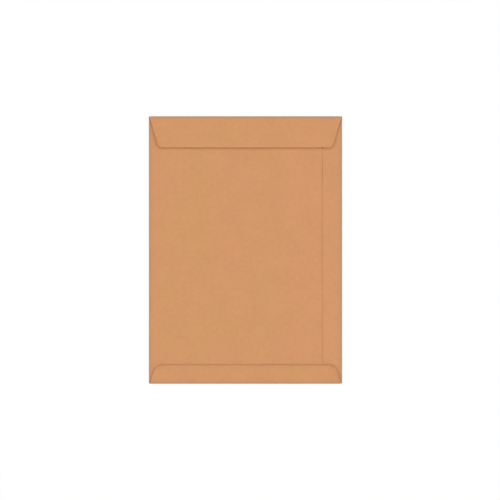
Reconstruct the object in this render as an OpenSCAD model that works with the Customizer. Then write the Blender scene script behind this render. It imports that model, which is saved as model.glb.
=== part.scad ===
// Pocket envelope of brown kraft paper, empty and closed but not gummed down.
// It is one die-cut sheet. The narrow and the wide side panel fold in and are glued together
// along a side seam, the bottom flap folds up over them and is glued down, and the top flap
// folds over the mouth. The envelope lies on its front with the flaps up: X runs across it,
// Y runs up to the top fold and Z rises from the table. The origin is at the middle of the
// front panel's underside.

/* [Envelope] */
// Width over the two side folds
width = 260; // [160:1:400]
// Height over the bottom fold and the top fold
height = 360; // [225:1:500]
// Thickness of the paper
paper = 0.15; // [0.08:0.01:0.3]
// Height of the empty pocket between the front panel and the side panels
pocket = 0.4; // [0.2:0.1:3]
// Notch left open at both ends of the side folds, where they would run into the other folds
corner_notch = 0.2; // [0.1:0.1:3]

/* [Side seam] */
// Distance from the right-hand edge of the envelope to the cut edge of the wide panel
seam_inset = 27; // [10:0.5:60]
// Width of the strip in which the wide panel lies on the narrow one
seam_overlap = 16; // [5:0.5:40]
// Distance from the glued areas to the cut edges and folds around them
glue_margin = 2; // [0.5:0.5:2]

/* [Mouth] */
// Depth of the mouth's straight edge below the top of the envelope
mouth_depth = 12; // [6:0.5:30]
// Width of the sloping shoulder at each end of the mouth
shoulder_width = 28; // [5:1:60]

/* [Bottom flap] */
// Depth of the bottom flap from the lower edge of the envelope to its cut edge
bottom_flap_depth = 25; // [18:0.5:60]
// How far in from the side folds the two ends of the bottom flap start
bottom_flap_inset = 1.2; // [0.2:0.1:8]
// How far each end of the bottom flap slants in from there
bottom_flap_slant = 7.5; // [0.5:0.5:30]
// Radius of the bottom flap's two corners
bottom_flap_corner = 13; // [1:0.5:15]

/* [Top flap] */
// Depth of the top flap from the upper edge of the envelope to its cut edge
top_flap_depth = 42; // [20:0.5:90]
// How far in from the side folds the two ends of the top flap start
top_flap_inset = 0.4; // [0.2:0.1:8]
// How far each end of the top flap slants in from there
top_flap_slant = 12.5; // [0.5:0.5:40]
// Radius of the top flap's two corners
top_flap_corner = 7.5; // [1:0.5:15]
// Angle, in degrees, by which the top flap springs up from its fold
top_flap_spring = 1.8; // [0:0.1:8]
// Clearance under the top flap at its fold
top_flap_gap = 0.1; // [0.05:0.05:1]

/* [Hidden] */
$fn = 96;

kraft = [0.827, 0.597, 0.414];

// Heights of the undersides of the stacked layers, from the front panel up
narrow_z = paper + pocket;
wide_z = narrow_z + paper;
bottom_flap_z = wide_z + paper;
top_flap_z = bottom_flap_z + top_flap_gap;

// Inner radius of the fold that carries a layer whose underside is at height z
function fold_radius(z) = (z - paper) / 2;

// How far that fold stands out from the flat front panel
function fold_reach(z) = fold_radius(z) + paper;

// Lines where the flat front panel ends and its four folds begin
left_x = -width / 2 + fold_reach(wide_z);
right_x = width / 2 - fold_reach(narrow_z);
bottom_y = -height / 2 + fold_reach(bottom_flap_z);
top_y = height / 2 - fold_reach(top_flap_z);

// Lower and upper ends of the side folds, short of the corners
side_low = bottom_y + corner_notch;
side_high = top_y - corner_notch;

// Length of a flap whose ends start in from the side folds, and the middle of both flaps
function flap_length(inset) = right_x - left_x - 2 * inset;
flap_middle = (left_x + right_x) / 2;

// Cut edges of the wide panel, the narrow panel, the mouth and the bottom flap
seam_x = width / 2 - seam_inset;
narrow_x = seam_x - seam_overlap;
mouth_y = height / 2 - mouth_depth;
bottom_flap_y = -height / 2 + bottom_flap_depth;

// Section of a sheet turned back over itself. Both legs run towards +X from a round fold at
// the origin, the lower one on the table and the upper one with its underside at height z.
// The spring angle turns the upper leg up about the middle of the fold.
module hairpin(z, leg, spring = 0) {
    inner = fold_radius(z);
    outer = fold_reach(z);
    translate([0, outer])
        difference() {
            union() {
                circle(outer);
                rotate(spring)
                    square([leg, outer]);
                translate([0, -outer])
                    square([leg, outer]);
            }
            circle(inner);
            // The space between the legs, which runs out of their open end
            rotate(spring)
                translate([0, -inner])
                    square([2 * leg, 2 * inner]);
            translate([0, -inner])
                square([2 * leg, inner]);
        }
}

// Sheet turned back along a fold of the given length, which is centred on the Y axis
module turned_back(z, leg, length, spring = 0) {
    rotate([90, 0, 0])
        linear_extrude(length, center = true)
            hairpin(z, leg, spring);
}

// Trims the first child to the outline that is the second child
module die_cut() {
    intersection() {
        children(0);
        linear_extrude(top_flap_z + top_flap_depth)
            children(1);
    }
}

// Outline shared by the two side panels: the mouth's straight edge lies between two
// shoulders that rise to the upper ends of the side folds
module back_outline() {
    polygon([
        [-width / 2, side_low], [width / 2, side_low],
        [width / 2, side_high], [right_x, side_high],
        [right_x - shoulder_width, mouth_y], [left_x + shoulder_width, mouth_y],
        [left_x, side_high], [-width / 2, side_high]
    ]);
}

// Outline of a flap, from the folded edge at x = 0 to the cut edge at x = depth. Both ends
// slant in, and a circle tangent to both edges rounds each corner.
module flap_outline(length, depth, slant, radius) {
    slope_length = norm([slant, depth]);
    // Distance from the sharp corner to the points where the rounding starts
    tangent = radius * tan(acos(slant / slope_length) / 2);
    drop = tangent * depth / slope_length;
    inset = tangent * slant / slope_length;
    slope_end = length / 2 - slant + inset;
    edge_end = length / 2 - slant - tangent;
    polygon([
        [0, -length / 2], [depth - drop, -slope_end], [depth, -edge_end],
        [depth, edge_end], [depth - drop, slope_end], [0, length / 2]
    ]);
    for (y = [-edge_end, edge_end])
        translate([depth - radius, y])
            circle(radius);
}

// Glue on the underside of a layer at height z, within the glue margin of a rectangle. It
// soaks halfway into that layer and into the one below, and so makes them one solid.
module glue(z, x0, x1, y0, y1) {
    translate([x0 + glue_margin, y0 + glue_margin, z - paper / 2])
        cube([x1 - x0 - 2 * glue_margin, y1 - y0 - 2 * glue_margin, paper]);
}

// Flap turned back over the envelope, in the same position as a turned back sheet
module flap(z, length, depth, slant, radius, spring = 0) {
    die_cut() {
        turned_back(z, 2 * depth, length, spring);
        translate([-fold_reach(z), 0])
            flap_outline(length, depth, slant, radius);
    }
}

// The address side, flat on the table between the four folds
module front_panel() {
    translate([left_x, bottom_y, 0])
        cube([right_x - left_x, top_y - bottom_y, paper]);
}

// Folded in from the right, under the wide panel
module narrow_panel() {
    die_cut() {
        translate([right_x, (side_low + side_high) / 2, 0])
            rotate(180)
                turned_back(narrow_z, right_x - narrow_x, side_high - side_low);
        back_outline();
    }
}

// Folded in from the left, over the narrow panel
module wide_panel() {
    die_cut() {
        translate([left_x, (side_low + side_high) / 2, 0])
            turned_back(wide_z, seam_x - left_x, side_high - side_low);
        back_outline();
    }
    glue(wide_z, narrow_x, seam_x, side_low, mouth_y);
}

// Folded up from below and glued flat on the wide panel
module bottom_flap() {
    translate([flap_middle, bottom_y, 0])
        rotate(90)
            flap(bottom_flap_z, flap_length(bottom_flap_inset), bottom_flap_depth,
                bottom_flap_slant, bottom_flap_corner);
    glue(bottom_flap_z, left_x + bottom_flap_inset + bottom_flap_slant + bottom_flap_corner,
        seam_x, side_low, bottom_flap_y);
}

// Folded down over the mouth, and free to spring up about its fold
module top_flap() {
    translate([flap_middle, top_y, 0])
        rotate(-90)
            flap(top_flap_z, flap_length(top_flap_inset), top_flap_depth, top_flap_slant,
                top_flap_corner, top_flap_spring);
}

module envelope() {
    color(kraft) {
        front_panel();
        narrow_panel();
        wide_panel();
        bottom_flap();
        top_flap();
    }
}

envelope();
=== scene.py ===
# %% [markdown]
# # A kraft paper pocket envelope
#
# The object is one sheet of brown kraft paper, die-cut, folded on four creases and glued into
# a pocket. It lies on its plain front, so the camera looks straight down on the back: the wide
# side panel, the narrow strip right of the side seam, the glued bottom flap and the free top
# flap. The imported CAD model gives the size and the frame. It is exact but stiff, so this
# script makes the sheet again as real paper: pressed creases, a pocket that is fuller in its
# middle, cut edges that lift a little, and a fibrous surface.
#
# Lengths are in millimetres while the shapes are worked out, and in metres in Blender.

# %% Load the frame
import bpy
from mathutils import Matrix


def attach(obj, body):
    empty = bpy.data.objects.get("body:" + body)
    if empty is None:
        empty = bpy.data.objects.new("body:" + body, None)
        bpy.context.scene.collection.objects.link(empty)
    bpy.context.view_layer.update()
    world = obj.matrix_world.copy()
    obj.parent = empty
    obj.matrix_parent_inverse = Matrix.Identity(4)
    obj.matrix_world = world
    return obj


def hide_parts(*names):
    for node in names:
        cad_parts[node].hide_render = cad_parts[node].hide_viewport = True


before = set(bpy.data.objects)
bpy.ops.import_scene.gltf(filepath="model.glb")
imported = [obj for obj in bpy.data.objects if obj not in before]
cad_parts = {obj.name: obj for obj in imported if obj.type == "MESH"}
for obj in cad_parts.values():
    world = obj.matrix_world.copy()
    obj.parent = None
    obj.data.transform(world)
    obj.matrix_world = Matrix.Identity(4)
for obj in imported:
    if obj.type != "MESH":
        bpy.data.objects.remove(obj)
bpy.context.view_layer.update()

import bpy
import numpy as np

MM = 0.001

# %% [markdown]
# ## Camera
#
# The photograph is taken square-on: all four edges are straight and parallel to the frame. The
# envelope's height takes up 267.35 of the picture's 500 pixels, so the picture is 673 mm wide
# at the table, and the envelope lies 4.5 pixels left of the middle. A long lens far above the
# table keeps the view as flat as the photograph's.

# %% Camera straight above the table
WIDTH, HEIGHT = 260.0, 360.0
PICTURE_PIXELS = 500
PIXEL = HEIGHT / 267.35 * MM
camera_data = bpy.data.cameras.new("camera")
camera_data.lens = 100
camera_data.sensor_width = 36
camera_data.clip_end = 50
camera = bpy.data.objects.new("camera", camera_data)
bpy.context.scene.collection.objects.link(camera)
camera_height = PICTURE_PIXELS * PIXEL * camera_data.lens / camera_data.sensor_width
camera.location = (4.5 * PIXEL, 0, camera_height)
bpy.context.scene.camera = camera
bpy.context.scene.view_settings.view_transform = "Standard"
print("camera height in mm:", round(camera_height / MM, 1))

# %% [markdown]
# ## Light
#
# Every cut edge in the photograph has a thin dark line beside it, and the line is about equally
# dark whichever way the edge runs. So the light comes from all around and mostly from low
# down, as in a light tent with bright walls. The line under the top flap is the crispest, and
# the bottom flap is shaded a little on its own side of its line, so the tent is brighter at
# the top of the picture, and a little at its right.
#
# The world does this: its level depends on the height in the sky and on the side. A surface
# that faces up sees each height in proportion to its sine, so the levels are scaled until their
# weighted sum makes such a surface render in its own colour.

# %% Levels of the light tent
SKY_HEIGHT = np.array([0.0, 0.3, 0.5, 0.7, 1.0])  # sine of the elevation
SKY_LEVEL = np.array([0.1, 0.4, 2.6, 1.0, 0.5])
BRIGHTER_RIGHT, BRIGHTER_TOP = 0.06, 0.15
sines = (np.arange(2000) + 0.5) / 2000  # the middles of many equal steps from 0 to 1
SKY_STRENGTH = float(0.5 / np.mean(np.interp(sines, SKY_HEIGHT, SKY_LEVEL) * sines))
print("strength of the sky:", round(SKY_STRENGTH, 3))

# %% [markdown]
# A node tree is easier to read as lines of a calculation, so two helpers make nodes: one any
# node with its values and links, the other a Math node. A third tells the rays that should
# show the white background from those that bring light to a surface.

# %% Helpers for nodes
def node(tree, kind, inputs, **settings):
    """Make a node, set its settings, and set each input to a value or link it to an output."""
    made = tree.nodes.new("ShaderNode" + kind)
    for name, value in settings.items():
        setattr(made, name, value)
    for name, value in inputs.items():
        if isinstance(value, bpy.types.NodeSocket):
            tree.links.new(value, made.inputs[name])
        else:
            made.inputs[name].default_value = value
    return made


def calc(tree, operation, a, b=0.0, c=0.0):
    """Output of a Math node."""
    return node(tree, "Math", {0: a, 1: b, 2: c}, operation=operation).outputs[0]


def shows_background(tree):
    """1 on the rays that show the background as it is: those of the camera, and those that
    come off a mirror or through glass."""
    path = node(tree, "LightPath", {}).outputs
    other = calc(tree, "MAXIMUM", path["Is Glossy Ray"], path["Is Transmission Ray"])
    return calc(tree, "MAXIMUM", path["Is Camera Ray"], other)


# %% World as a light tent
world = bpy.data.worlds.new("light_tent")
bpy.context.scene.world = world
world.use_nodes = True
tree = world.node_tree
tree.nodes.clear()
direction = node(tree, "TexCoord", {}).outputs["Generated"]
towards = node(tree, "SeparateXYZ", {0: direction}).outputs
ramp = node(tree, "ValToRGB", {0: towards["Z"]})
stops = ramp.color_ramp.elements
while len(stops) < len(SKY_HEIGHT):
    stops.new(0.5)
for stop, height, level in zip(stops, SKY_HEIGHT, SKY_LEVEL / SKY_LEVEL.max()):
    stop.position = height
    stop.color = (level, level, level, 1)
strength = calc(tree, "MULTIPLY_ADD", towards["X"], BRIGHTER_RIGHT, 1.0)
strength = calc(tree, "MULTIPLY_ADD", towards["Y"], BRIGHTER_TOP, strength)
strength = calc(tree, "MULTIPLY", strength, SKY_STRENGTH * float(SKY_LEVEL.max()))
tent = node(tree, "Background", {"Color": ramp.outputs["Color"], "Strength": strength})
white = node(tree, "Background", {"Color": (1, 1, 1, 1)})
sky = node(tree, "MixShader", {0: shows_background(tree), 1: tent.outputs[0],
                               2: white.outputs[0]})
node(tree, "OutputWorld", {"Surface": sky.outputs[0]})
print("stops of the sky:", len(stops))

# %% [markdown]
# ## Table
#
# The background of the photograph is plain white. The table is a large white sheet that takes
# the envelope's shadow. On the rays that show the background, a part of its white comes from
# emission, which brings it up to the white of the page and leaves the shadow as faint as it is
# in the photograph. On all other rays it is a plain matte white.

# %% White table
LIT_SHARE = 0.3  # share of the table's white that comes from the light on it
TABLE_WHITE = 0.9
REACH = 4.0  # in metres, far past the picture's edges
mesh = bpy.data.meshes.new("table")
mesh.from_pydata([(-REACH, -REACH, 0), (REACH, -REACH, 0), (REACH, REACH, 0),
                  (-REACH, REACH, 0)], [], [(0, 1, 2, 3)])
table = bpy.data.objects.new("table", mesh)
bpy.context.scene.collection.objects.link(table)

# %% Finish of the table
finish = bpy.data.materials.new("table_white")
finish.use_nodes = True
tree = finish.node_tree
shader = tree.nodes["Principled BSDF"]
shader.inputs["Roughness"].default_value = 0.9
shader.inputs["Specular IOR Level"].default_value = 0.0
shader.inputs["Base Color"].default_value = (TABLE_WHITE, TABLE_WHITE, TABLE_WHITE, 1)
glow = node(tree, "Emission", {
    "Strength": (1 - TABLE_WHITE * LIT_SHARE) / (1 - LIT_SHARE)})
share = calc(tree, "MULTIPLY", shows_background(tree), 1 - LIT_SHARE)
blend = node(tree, "MixShader", {0: share, 1: shader.outputs[0], 2: glow.outputs[0]})
tree.links.new(blend.outputs[0], tree.nodes["Material Output"].inputs["Surface"])
mesh.materials.append(finish)
print("strength of the table's glow:", round(glow.inputs["Strength"].default_value, 3))

# %% [markdown]
# ## Sizes of the sheet
#
# These are the CAD model's values. The sheet is worked out as the surface in the middle of the
# paper, and a Solidify modifier gives it its thickness at the end. At a crease that middle
# stands out past the fold line, and half a paper more lies the envelope's edge, from which the
# flaps' outlines are measured.

# %% Sizes
PAPER = 0.15
BULGE = 0.3  # how far the middle of the paper stands out at a crease
EDGE = BULGE + PAPER / 2
LEFT, RIGHT = -WIDTH / 2 + EDGE, WIDTH / 2 - EDGE
LOW, HIGH = -HEIGHT / 2 + EDGE, HEIGHT / 2 - EDGE
SEAM_X = WIDTH / 2 - 27
NARROW_X = SEAM_X - 16
MOUTH_DEPTH, SHOULDER = 12.0, 28.0
TOP_FLAP = dict(full=42.0, inset=0.4, slant=12.5, radius=7.5)
BOTTOM_FLAP = dict(full=25.0, inset=1.2, slant=7.5, radius=13.0)
print("fold lines at x:", LEFT, RIGHT, "and at y:", LOW, HIGH)

# %% [markdown]
# ## Outline of a flap
#
# A flap is a little shorter than its side of the envelope, so that its ends can't stick out at
# the corners. From there they slant in, and a circle tangent to both edges rounds each corner.
# Two functions describe it: the half length at a depth, which draws the mesh, and the distance
# in from the cut edge, which shapes and colours the paper near it.

# %% Outline of a flap
HALF = (RIGHT - LEFT) / 2
MIDDLE = (RIGHT + LEFT) / 2


def corner_of(full, inset, slant, radius):
    """Middle of the corner's circle, as (place along the fold, depth), and the drop: how far
    above the cut edge the circle leaves the slant."""
    slope = np.hypot(slant, full)
    tangent = radius * np.tan(np.arccos(slant / slope) / 2)
    return HALF - inset - slant - tangent, full - radius, tangent * full / slope


def half_length(depth, full, inset, slant, radius):
    """Half length at a depth: the straight slant, and below its end the circle."""
    along, down, drop = corner_of(full, inset, slant, radius)
    rise = np.clip(depth - down, -radius, radius)
    circle = along + np.sqrt(np.clip(radius ** 2 - rise ** 2, 0, None))
    return np.where(depth > full - drop, circle, HALF - inset - slant * depth / full)


def inside_edge(x, depth, full, inset, slant, radius):
    """Distance in from the cut edge: the smaller of the distances to the slant and to the
    straight edge, and in the corner's sector the distance to its circle."""
    along, down, drop = corner_of(full, inset, slant, radius)
    side = HALF - inset - slant * depth / full - np.abs(x - MIDDLE)
    side = side * full / np.hypot(slant, full)
    a, b = np.abs(x - MIDDLE) - along, depth - down
    in_corner = (a > 0) & (b * full > a * slant)
    return np.clip(np.where(in_corner, radius - np.hypot(a, b),
                            np.minimum(side, full - depth)), 0, None)


for name, flap in (("top flap", TOP_FLAP), ("bottom flap", BOTTOM_FLAP)):
    print(name, "half lengths:", half_length(np.array([0, flap["full"]]), **flap).round(1))

# %% [markdown]
# ## Heights of the layers
#
# Paper layers touch and never cross, so each layer's height is the height of the one below plus
# the paper's thickness plus a gap that is never negative. The whole envelope waves a little,
# as paper does. At the creases the layers are pressed together, and further in the empty pocket
# stands open by most of a millimetre. Cut edges lift, the side seam by half a millimetre, the
# glued bottom flap by more than one, and the top flap, which isn't stuck down, by the most.

# %% Curves that the heights are made of
def smooth(x, start, end):
    """0 before start, 1 after end, and between them 3u^2 - 2u^3 of the share u of the way."""
    u = np.clip((x - start) / (end - start), 0, 1)
    return u * u * (3 - 2 * u)


def fade(distance, length):
    """1 at distance 0, falling exponentially over the length."""
    return np.exp(-np.clip(distance, 0, None) / length)


def wave(x, y):
    """Sum of three long sine waves that cross at different angles."""
    return (0.6 * np.sin(x / 47 + 0.7) * np.cos(y / 63 + 1.1)
            + 0.4 * np.sin(x / 29 - y / 41 + 2.1) + 0.3 * np.cos(y / 26 + x / 90))


LOWEST = wave(*np.meshgrid(np.linspace(LEFT, RIGHT, 200), np.linspace(LOW, HIGH, 300))).min()
print("lowest point of the wave:", LOWEST.round(3))


# %% Heights of the front and the side panels
WAVES = 0.12  # height of the waves
POCKET = 0.8  # how far the pocket stands open
PRESSED = 0.03  # gap that is left between pressed layers


def front_height(x, y):
    """Middle of the front panel: half a paper over the table, plus the wave from its lowest."""
    return PAPER / 2 + WAVES * (wave(x, y) - LOWEST)


def narrow_height(x, y):
    """The narrow panel: a paper over the front one, plus the open pocket, which is a product
    that fades to 0 at each crease."""
    across = (1 - fade(x - LEFT, 28)) * (1 - fade(RIGHT - x, 28))
    along = (1 - fade(y - LOW, 32)) * (1 - fade(HIGH - y, 60))
    return front_height(x, y) + PAPER + 2 * PRESSED + POCKET * across * along


def stack_height(x, y):
    """What the flaps lie on: the narrow panel and, up to the side seam, a paper more. That
    paper lies fully on the narrow panel only right of the narrow panel's own cut edge."""
    share = 0.4 + 0.6 * smooth(x, LEFT + 20, NARROW_X) - smooth(x, SEAM_X + 0.5, SEAM_X + 8)
    return narrow_height(x, y) + share * PAPER + PRESSED


def seam_lift(y):
    """Lift of the cut edge along the side seam: half a millimetre, more or less from place to
    place, and pressed down under the two flaps."""
    free = smooth(y + HEIGHT / 2, 20, 30) * smooth(HEIGHT / 2 - y, 36, 47)
    uneven = 1 + 0.3 * np.sin(y / 11 + 1) * np.cos(y / 29)
    return PRESSED + 0.55 * free * uneven


def wide_height(x, y):
    """The wide panel: as the stack, and its cut edge along the side seam lifts over 2 mm."""
    return stack_height(x, y) - PRESSED + seam_lift(y) * fade(SEAM_X - x, 2.2)


print("seam lifts by:", seam_lift(np.linspace(-150, 130, 9)).round(2))


# %% Heights of the flaps
def bottom_flap_height(x, y):
    """The bottom flap: a paper over the stack, and its edge lifts over 2 mm, less left of
    the middle and more at both ends, most at the right one. At the fold the lift fades out."""
    depth = y + HEIGHT / 2
    lift = (1.2 - 0.2 * np.exp(-((x + 25) / 25) ** 2) + 0.5 * smooth(-x, 104, 122)
            + 0.8 * smooth(x, 104, 122))
    edge = lift * fade(inside_edge(x, depth, **BOTTOM_FLAP), 2.2)
    return stack_height(x, y) + PAPER + edge * (1 - fade(depth - EDGE, 1.5))


def top_flap_height(x, y):
    """The top flap: a paper over the stack, a spring in proportion to the depth, and an edge
    that lifts over 4 mm, more at the two ends, and fades out only close to the fold."""
    depth = HEIGHT / 2 - y
    spring = 0.3 * np.clip(depth - EDGE, 0, None) / TOP_FLAP["full"]
    lift = (1.45 + 0.07 * np.cos(x / 37 + 0.4) + 1.0 * smooth(-x, 104, 118)
            + 0.6 * smooth(x, 104, 118))
    edge = lift * fade(inside_edge(x, depth, **TOP_FLAP), 3.5)
    return stack_height(x, y) + PAPER + 0.04 + spring + edge * (1 - fade(depth - EDGE, 1.0))


print("flap edges at x = 0 lie at:", bottom_flap_height(0, -HEIGHT / 2 + 25).round(2),
      "and", top_flap_height(0, HEIGHT / 2 - 42).round(2))

# %% [markdown]
# ## One side of the blank
#
# All four sides are made alike. A side has its own two directions, outwards and along the fold,
# and each of its points is a function of two parameters: the way across the paper from the
# fold line, and the way along the fold. The paper first goes round the crease, on half an
# ellipse as high as the step between the two layers there, and then runs back over the
# envelope at its layer's height, inside its cut outline. With every point goes its place on
# the flat blank, so that the paper's grain can run through the folds as it does in one sheet.

# %% Rows and columns of the grids
def ruled(start, end, step):
    """Even steps from start to end, with finer ones in the last 3 mm at both ends, where the
    two flaps start."""
    near = np.array([0, TOP_FLAP["inset"], BOTTOM_FLAP["inset"], 2.0, 3.0])
    inner = np.linspace(start + 3, end - 3, int((end - start - 6) / step) + 1)[1:-1]
    return np.concatenate([start + near, inner, end - near[::-1]])


def flap_depths(full, inset, slant, radius):
    """Rows of a flap in from the fold line: fine at the fold, then even, then by equal angles
    of the corner's circle."""
    start = full - EDGE - radius
    return np.concatenate([[0.25, 0.6, 1.2, 2.4], np.linspace(4.4, start - 1, 8),
                           start + radius * np.sin(np.linspace(0, np.pi / 2, 17))])


def panel_depths(reach):
    """Rows of a side panel in from the fold line: fine at the fold and the cut edge, and one
    at the end of the shoulder."""
    return np.concatenate([[0.3, 0.8, 1.6, 3.0], np.linspace(7, SHOULDER, 7),
                           np.linspace(SHOULDER, reach - 4, max(2, int(reach / 4) - 8))[1:],
                           reach - np.array([2.6, 1.6, 0.9, 0.4, 0.15, 0])])


FRONT_X = ruled(LEFT, RIGHT, 4.0)
FRONT_Y = ruled(LOW, HIGH, 4.0)
print("front grid:", len(FRONT_X), "by", len(FRONT_Y))


# %% Surface of one side
BEND = np.linspace(0, np.pi, 13)
ARC = 0.8  # length of paper that a crease takes up


def side(outward, along, fold_at, height, depths, fold_columns, columns_at):
    """Points of one side, their places on the blank, and their distances from the middle of
    the crease and from the nearest cut edge, as arrays of rows by columns.

    outward and along are unit vectors, and fold_at is the fold line's place on outward. The
    first rows turn on the half ellipse: middle of both layers, minus half their step times the
    cosine of the angle, pushed out by the bulge times its sine. The other rows lie at depths
    in from the fold line, follow the height, and have their columns at columns_at(depth).
    """
    outward, along = np.array(outward, float), np.array(along, float)
    c = np.vstack([np.tile(fold_columns, (len(BEND), 1))] + [columns_at(d) for d in depths])
    o = np.concatenate([np.full(len(BEND), fold_at), fold_at - depths])[:, None]
    x, y = (o * outward[i] + c * along[i] for i in (0, 1))
    below, above = front_height(x, y), height(x, y)
    angle = np.concatenate([BEND, np.full(len(depths), np.pi)])[:, None]
    z = (below + above) / 2 - (above - below) / 2 * np.cos(angle)
    push = BULGE * np.sin(angle)
    points = np.stack([x + push * outward[0], y + push * outward[1], z], -1)

    arc = np.concatenate([BEND * ARC / np.pi, ARC + depths])[:, None]
    blank = np.stack([(fold_at + arc) * outward[i] + c * along[i] for i in (0, 1)], -1)
    from_crease = np.abs(arc - ARC / 2) + 0 * c
    from_cut = np.minimum(np.minimum(c - c[:, :1], c[:, -1:] - c), arc[-1] - arc)
    return points, blank, from_crease, from_cut


# %% Columns of the panels and the flaps
def panel_columns(sign):
    """Columns of a side panel: from the bottom to the mouth's outline, which drops along the
    shoulder from the fold and is straight past it. The sign is that of the along direction."""
    share = (FRONT_Y - LOW) / (HIGH - LOW)
    share = share if sign > 0 else share[::-1]

    def at(depth):
        top = HIGH - (MOUTH_DEPTH - EDGE) * np.clip(depth / SHOULDER, 0, 1)
        return sign * (LOW + share * (top - LOW))
    return at


def flap_fold(flap):
    """Columns of the front panel that a flap's fold takes up."""
    return FRONT_X[np.abs(FRONT_X - MIDDLE) < HALF - flap["inset"] + 0.01]


def flap_columns(sign, flap):
    """Columns of a flap: the fold's columns, drawn in to the half length at each depth."""
    share = (flap_fold(flap) - MIDDLE) / (HALF - flap["inset"])

    def at(depth):
        places = MIDDLE + share * half_length(depth + EDGE, **flap)
        return places if sign > 0 else -places[::-1]
    return at


print("columns of the flaps:", len(flap_fold(TOP_FLAP)), "and", len(flap_fold(BOTTOM_FLAP)))

# %% [markdown]
# In the photograph the line of the side seam is a little softer than the others, as where an
# edge isn't quite parallel to the fold beside it. So once the wide panel is made, its part
# near the seam is drawn in by a fraction of a millimetre that changes slowly along the seam.

# %% The four sides and the front panel
def not_square(points):
    """The wide panel, folded over a little out of square: towards its cut edge it moves in by
    a fifth of a millimetre, more or less along its length."""
    x, y = points[..., 0], points[..., 1]
    points[..., 0] -= (0.2 + 0.1 * np.sin(y / 37 + 1)) * smooth(x, SEAM_X - 30, SEAM_X)


left = side((-1, 0), (0, 1), -LEFT, wide_height, panel_depths(SEAM_X - LEFT),
            FRONT_Y, panel_columns(1))
not_square(left[0])
right = side((1, 0), (0, -1), RIGHT, narrow_height, panel_depths(RIGHT - NARROW_X),
             -FRONT_Y[::-1], panel_columns(-1))
bottom = side((0, -1), (-1, 0), -LOW, bottom_flap_height, flap_depths(**BOTTOM_FLAP),
              -flap_fold(BOTTOM_FLAP)[::-1], flap_columns(-1, BOTTOM_FLAP))
top = side((0, 1), (1, 0), HIGH, top_flap_height, flap_depths(**TOP_FLAP),
           flap_fold(TOP_FLAP), flap_columns(1, TOP_FLAP))

gx, gy = np.meshgrid(FRONT_X, FRONT_Y)
to_fold = np.minimum(np.minimum(gx - LEFT, RIGHT - gx), np.minimum(gy - LOW, HIGH - gy))
FAR = 99.0  # from any cut edge
front = (np.stack([gx, gy, front_height(gx, gy)], -1), np.stack([gx, gy], -1),
         to_fold + ARC / 2, np.full(gx.shape, FAR))
grids = dict(front=front, left=left, right=right, bottom=bottom, top=top)
for name, (points, *_) in grids.items():
    print(name, points.shape[:2], "z in mm:", points[..., 2].min().round(2), "to",
          points[..., 2].max().round(2))

# %% [markdown]
# ## One mesh from the grids
#
# Each grid becomes quads, and the grids share their points along the fold lines, so welding
# the doubles makes them one sheet. The outside of the paper faces down on the front panel and
# up on the four sides.

# %% Quads of the grids, welded into one sheet
def quads(rows, columns, first):
    """Faces of a grid whose points start at number first, row by row."""
    corner = first + (np.arange(rows - 1)[:, None] * columns + np.arange(columns - 1)).ravel()
    return np.stack([corner, corner + columns, corner + columns + 1, corner + 1], -1)


def joined(index):
    """One array of all grids' points, places or distances."""
    return np.concatenate([grid[index].reshape(-1, *grid[index].shape[2:])
                           for grid in grids.values()])


sizes = [grid[2].size for grid in grids.values()]
faces = np.concatenate([quads(*grid[2].shape, start) for start, grid in
                        zip(np.cumsum([0] + sizes), grids.values())])
_, keep, number = np.unique(np.round(joined(0), 3), axis=0, return_index=True,
                            return_inverse=True)
faces = number.reshape(-1)[faces]
coordinates, blank_mm = joined(0)[keep], joined(1)[keep]
print("points:", len(coordinates), "faces:", len(faces))
print("size of the flat blank in mm:", np.ptp(blank_mm, axis=0).round(1))

# %% [markdown]
# The place on the blank goes along as an attribute for the material, and so do two marks. The
# crease mark is 1 on a crease and fades over the next few millimetres; it makes the creases
# darker, partly as wear and partly as painted shade of the rounded folds. The cut mark is 1 on
# the cut edges of the flaps, which stand up, and fades within a millimetre or two; it makes
# them lighter, partly as a pale cut and partly as a painted highlight. On the side panels,
# whose cut edges lie flatter, it is weak.

# %% Marks of creases and cut edges
CREASE_FADE, CUT_FADE = 1.6, 0.7
# Strength of the cut mark on each part of the sheet: a pale cut edge and, in part, a painted
# highlight.
CUT_WEAR_AND_HIGHLIGHT = dict(front=0.0, left=0.2, right=0.2, bottom=1.0, top=1.0)
crease = np.minimum(1, 1.3 * fade(joined(2), CREASE_FADE))[keep]
wear_and_painted_light = np.repeat([CUT_WEAR_AND_HIGHLIGHT[name] for name in grids], sizes)
cut = (wear_and_painted_light * fade(joined(3), CUT_FADE))[keep]
print("means of the marks:", crease.mean().round(3), "and", cut.mean().round(3))

# %% The sheet as a Blender object
mesh = bpy.data.meshes.new("envelope_sheet")
mesh.from_pydata((coordinates * MM).tolist(), [], faces.tolist())
mesh.update()
sheet = bpy.data.objects.new("envelope_sheet", mesh)
bpy.context.scene.collection.objects.link(sheet)
mesh.polygons.foreach_set("use_smooth", np.ones(len(faces), bool))

mesh.attributes.new("blank_mm", "FLOAT_VECTOR", "POINT").data.foreach_set(
    "vector", np.pad(blank_mm, ((0, 0), (0, 1))).astype(np.float32).ravel())
for name, values in (("crease", crease), ("cut", cut)):
    mesh.attributes.new(name, "FLOAT", "POINT").data.foreach_set(
        "value", values.astype(np.float32))

thickness = sheet.modifiers.new("paper thickness", "SOLIDIFY")
thickness.thickness = PAPER * MM
thickness.offset = 0
thickness.material_offset = 1
thickness.material_offset_rim = 2
print("attributes:", [attribute.name for attribute in mesh.attributes])

# %% [markdown]
# ## Kraft paper
#
# Kraft pulp isn't bleached, and its brown is the colour of the wood. From the photograph's
# distance the paper is an even warm brown with soft clouds, where the pulp settled thicker or
# thinner, and its hue drifts a little between yellowish and pinkish. From near by one sees the
# long fibres, which lie mostly the way the paper machine ran, and a few dark specks of bark.
#
# A photographed texture would repeat and stretch at the folds. Here noise textures are worked
# out at each point's place on the flat blank, so the grain is as large as the real one and
# runs through the creases. Each effect is a node group with named inputs, and the outside, the
# rougher inside and the cut edges of the paper all use the same groups with their own values.

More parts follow.
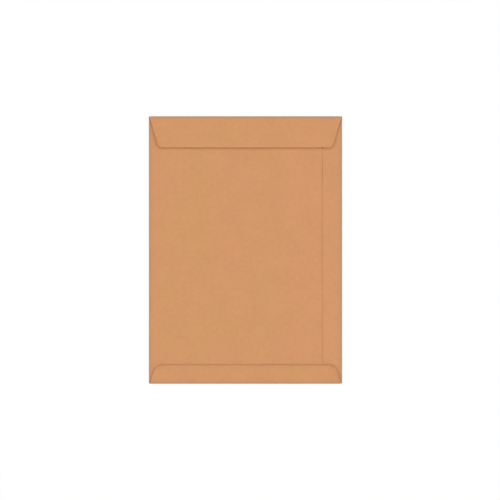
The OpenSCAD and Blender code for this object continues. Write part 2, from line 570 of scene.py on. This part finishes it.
# %% Helpers for node groups
def new_group(name, inputs, output):
    """Empty node group with number inputs next to a place on the blank, and one output."""
    tree = bpy.data.node_groups.new(name, "ShaderNodeTree")
    tree.interface.new_socket("Place", in_out="INPUT", socket_type="NodeSocketVector")
    for socket, value in inputs.items():
        made = tree.interface.new_socket(socket, in_out="INPUT", socket_type="NodeSocketFloat")
        made.default_value = value
    tree.interface.new_socket(output, in_out="OUTPUT", socket_type="NodeSocketFloat")
    return tree, tree.nodes.new("NodeGroupInput").outputs, tree.nodes.new("NodeGroupOutput")


def vector(tree, operation, inputs):
    """Output of a Vector Math node."""
    return node(tree, "VectorMath", inputs, operation=operation).outputs[0]


# %% [markdown]
# ### Fibres
#
# A fibre is a few millimetres long and a tenth of one wide. Noise that is stretched that much
# and cut off above a level leaves short thin streaks. Five such layers, turned to different
# angles and most of them near the machine direction, make a mat of crossing fibres. Some are
# lighter than the paper and some darker, so layers are added or taken away. A slow wobble of
# the place beforehand curls them.

# %% Group of fibres
FIBRE_LAYERS = ((5, 0.53, 1.0), (-18, 0.56, -0.9), (37, 0.57, 0.8), (-48, 0.60, -0.7),
                (81, 0.60, 0.7))  # degrees, level and tone
fibres, given, result = new_group("paper_fibres", {"Length": 3.2, "Width": 0.1, "Curl": 0.22},
                                  "Fibres")
wobble = node(fibres, "TexNoise", {"Vector": given["Place"], "Scale": 0.45},
              noise_dimensions="2D")
centred = vector(fibres, "SUBTRACT", {0: wobble.outputs["Color"], 1: (0.5, 0.5, 0.5)})
reach = calc(fibres, "MULTIPLY", given["Curl"], given["Length"])
curl = vector(fibres, "SCALE", {0: centred, "Scale": reach})
curled = vector(fibres, "ADD", {0: given["Place"], 1: curl})
size = node(fibres, "CombineXYZ", {"X": given["Width"], "Y": given["Length"], "Z": 1.0})
mat = 0.0
for degrees, level, tone in FIBRE_LAYERS:
    angle = float(np.radians(degrees))
    turned = node(fibres, "VectorRotate", {"Vector": curled, "Angle": angle},
                  rotation_type="Z_AXIS")
    place = vector(fibres, "DIVIDE", {0: turned.outputs[0], 1: size.outputs[0]})
    noise = node(fibres, "TexNoise", {"Vector": place, "Scale": 1.0, "Detail": 1.5},
                 noise_dimensions="2D")
    streak = node(fibres, "MapRange", {"Value": noise.outputs[0], "From Min": level,
                                       "From Max": level + 0.07})
    mat = calc(fibres, "MULTIPLY_ADD", streak.outputs[0], tone, mat)
fibres.links.new(mat, result.inputs["Fibres"])
print("layers of fibres:", len(FIBRE_LAYERS))

# %% [markdown]
# ### Clouds
#
# Clouds are plain noise of a given size, drawn out along the machine direction, as a number
# that varies around 0. The noise is solid and the sheet is one slice of it, so the seed, which
# is the slice's height, gives another set of clouds.

# %% Group of clouds
clouds, given, result = new_group("paper_clouds", {"Size": 5.6, "Stretch": 1.2, "Detail": 2.0,
                                                   "Seed": 0.0}, "Clouds")
long_way = calc(clouds, "MULTIPLY", given["Size"], given["Stretch"])
size = node(clouds, "CombineXYZ", {"X": given["Size"], "Y": long_way, "Z": 1.0})
seed = node(clouds, "CombineXYZ", {"Z": given["Seed"]})
place = vector(clouds, "DIVIDE", {0: given["Place"], 1: size.outputs[0]})
place = vector(clouds, "ADD", {0: place, 1: seed.outputs[0]})
noise = node(clouds, "TexNoise", {"Vector": place, "Scale": 1.0, "Detail": given["Detail"]})
clouds.links.new(calc(clouds, "SUBTRACT", noise.outputs[0], 0.5), result.inputs["Clouds"])
print("nodes of the clouds:", len(clouds.nodes))

# %% [markdown]
# ### Specks
#
# A bark speck is a dark splinter of a few tenths of a millimetre. The distance to the nearest
# point of a scattered set is small only close to the points. Fine noise added to the place
# frays the dots, a stretch draws them out, and random numbers that belong to each point make
# most of them small and faint.

# %% Group of specks
specks, given, result = new_group("bark_specks", {"Spacing": 4.5, "Size": 0.4}, "Specks")
fray = node(specks, "TexNoise", {"Vector": given["Place"], "Scale": 2.2, "Detail": 2.0},
            noise_dimensions="2D")
frayed = vector(specks, "MULTIPLY_ADD", {0: fray.outputs["Color"], 1: (0.6, 0.6, 0.6),
                                         2: given["Place"]})
long_way = calc(specks, "MULTIPLY", given["Spacing"], 1.7)
size = node(specks, "CombineXYZ", {"X": given["Spacing"], "Y": long_way, "Z": 1.0})
place = vector(specks, "DIVIDE", {0: frayed, 1: size.outputs[0]})
cells = node(specks, "TexVoronoi", {"Vector": place, "Scale": 1.0}, voronoi_dimensions="2D")
chance = node(specks, "SeparateColor", {"Color": cells.outputs["Color"]})
grown = calc(specks, "POWER", chance.outputs[0], 3.0)
reach = calc(specks, "MULTIPLY", grown, given["Size"])
inner = calc(specks, "MULTIPLY", reach, 0.6)
away = calc(specks, "MULTIPLY", cells.outputs["Distance"], given["Spacing"])
dot = node(specks, "MapRange", {"Value": away, "From Min": reach, "From Max": inner})
faint = calc(specks, "MULTIPLY", dot.outputs[0], chance.outputs[1])
specks.links.new(faint, result.inputs["Specks"])
print("nodes of the specks:", len(specks.nodes))

# %% [markdown]
# ### Brown
#
# The brown lies between a yellowish and a pinkish one. Very wide clouds make it drift, and it
# is pinker towards the two cut edges that were the left and the right end of the blank, where
# light and air reached the stacked blanks. Folded up, these two ends lie on either side of the
# seam.

# %% Brown of the paper
BLANK_MIDDLE = LEFT + RIGHT - (SEAM_X + NARROW_X) / 2


def effect(tree, group, where, **values):
    """Output of a group at a place, with its own values."""
    return node(tree, "Group", {"Place": where, **values}, node_tree=group).outputs[0]


def mark(tree, name, output="Fac"):
    """One of the sheet's attributes, a mark or with another output the place on the blank."""
    return node(tree, "Attribute", {}, attribute_name=name).outputs[output]


def mix(tree, share, first, second):
    """Colour that is the given share of the way from the first to the second."""
    return node(tree, "Mix", {"Factor": share, "A": first, "B": second}, data_type="RGBA",
                clamp_factor=True).outputs["Result"]


def kraft_brown(tree, where, yellowish, pinkish):
    """Colour between two browns, at a share that grows with the distance from the middle of
    the blank, plus the drift of very wide clouds."""
    across = node(tree, "SeparateXYZ", {0: where}).outputs["X"]
    outwards = calc(tree, "ABSOLUTE", calc(tree, "SUBTRACT", across, BLANK_MIDDLE))
    pinker = node(tree, "MapRange", {"Value": outwards, "From Min": 180.0, "From Max": 245.0,
                                     "To Min": 0.3, "To Max": 0.85}).outputs[0]
    drift = effect(tree, clouds, where, Size=55.0, Stretch=1.2, Detail=1.0, Seed=686.0)
    hue = calc(tree, "MULTIPLY_ADD", drift, 2.2, pinker)
    return mix(tree, hue, (*yellowish, 1), (*pinkish, 1))


print("middle of the blank at:", BLANK_MIDDLE)

# %% [markdown]
# ### The three finishes
#
# The brown is darker and greyer on the creases, in patches: partly wear, and partly painted
# shade of the rounded folds. Then it is multiplied by a number near 1: fibres and clouds make
# it vary, specks make it small, and the paper is a little lighter where the die has cut it,
# most on the flaps, partly as a pale cut and partly as a painted highlight. The same fibres
# and clouds raise the surface in a Bump node, and the fibres roughen it.

# %% Finish of the paper
# How much lighter the cut mark makes the paper: a pale cut edge and, in part, a painted
# highlight.
CUT_TONE = 0.12


def paper_finish(name, yellowish, pinkish, worn_and_shaded, fibre_tone, cloud_tone, speck_tone, relief,
                 gloss):
    """Paper material: brown, darker on the creases as wear and painted shade, times 1 plus each
    effect times its tone; the cut mark's tone is partly a painted highlight.
    """
    made = bpy.data.materials.new(name)
    made.use_nodes = True
    tree = made.node_tree
    shader = tree.nodes["Principled BSDF"]
    where = mark(tree, "blank_mm", "Vector")
    strands = effect(tree, fibres, where, Length=3.2, Width=0.1, Curl=0.22)
    small = effect(tree, clouds, where, Size=5.6, Stretch=1.2)
    wide = effect(tree, clouds, where, Size=26.0, Stretch=1.1)
    dots = effect(tree, specks, where, Spacing=4.5, Size=0.4)

    # Painted shade and wear on the creases: in patches the brown goes towards the darker,
    # greyer crease colour.
    patches = calc(tree, "MULTIPLY_ADD", small, 1.4, 0.8)
    wear_and_painted_light = calc(tree, "MULTIPLY", mark(tree, "crease"), patches)
    brown = mix(tree, wear_and_painted_light, kraft_brown(tree, where, yellowish, pinkish), (*worn_and_shaded, 1))
    shade = 1.0
    # The cut mark's term lightens the cut edges: partly a pale cut, partly a painted highlight.
    for part, tone in ((strands, fibre_tone), (small, cloud_tone), (wide, 0.9 * cloud_tone),
                       (dots, -speck_tone), (mark(tree, "cut"), CUT_TONE)):
        shade = calc(tree, "MULTIPLY_ADD", part, tone, shade)
    tree.links.new(vector(tree, "SCALE", {0: brown, "Scale": shade}),
                   shader.inputs["Base Color"])

    height = calc(tree, "MULTIPLY_ADD", strands, 0.5, small)
    bump = node(tree, "Bump", {"Height": height, "Strength": relief, "Distance": 0.05 * MM})
    tree.links.new(bump.outputs[0], shader.inputs["Normal"])
    rough = node(tree, "MapRange", {"Value": strands, "From Min": -1.0, "To Min": gloss,
                                    "To Max": gloss + 0.12})
    tree.links.new(rough.outputs[0], shader.inputs["Roughness"])
    shader.inputs["Specular IOR Level"].default_value = 0.3
    return made


# %% The three finishes on the sheet
# The third colour of each finish is that of its creases: partly wear, partly painted shade.
finishes = [
    paper_finish("kraft_outside", (0.632, 0.303, 0.1255), (0.645, 0.2965, 0.1355),
                 worn_and_shaded=(0.40, 0.25, 0.155), fibre_tone=0.055, cloud_tone=0.118,
                 speck_tone=0.45, relief=0.2, gloss=0.74),
    paper_finish("kraft_inside", (0.610, 0.300, 0.130), (0.625, 0.293, 0.136),
                 worn_and_shaded=(0.55, 0.28, 0.13), fibre_tone=0.10, cloud_tone=0.20,
                 speck_tone=0.35, relief=0.8, gloss=0.86),
    paper_finish("kraft_cut_edge", (0.690, 0.370, 0.180), (0.705, 0.360, 0.186),
                 worn_and_shaded=(0.60, 0.35, 0.20), fibre_tone=0.16, cloud_tone=0.20,
                 speck_tone=0.20, relief=0.9, gloss=0.88)]
for finish in finishes:
    mesh.materials.append(finish)
print("finishes:", [finish.name for finish in mesh.materials])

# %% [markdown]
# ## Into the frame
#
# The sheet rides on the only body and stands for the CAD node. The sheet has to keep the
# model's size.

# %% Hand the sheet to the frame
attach(sheet, "root")
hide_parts("envelope")
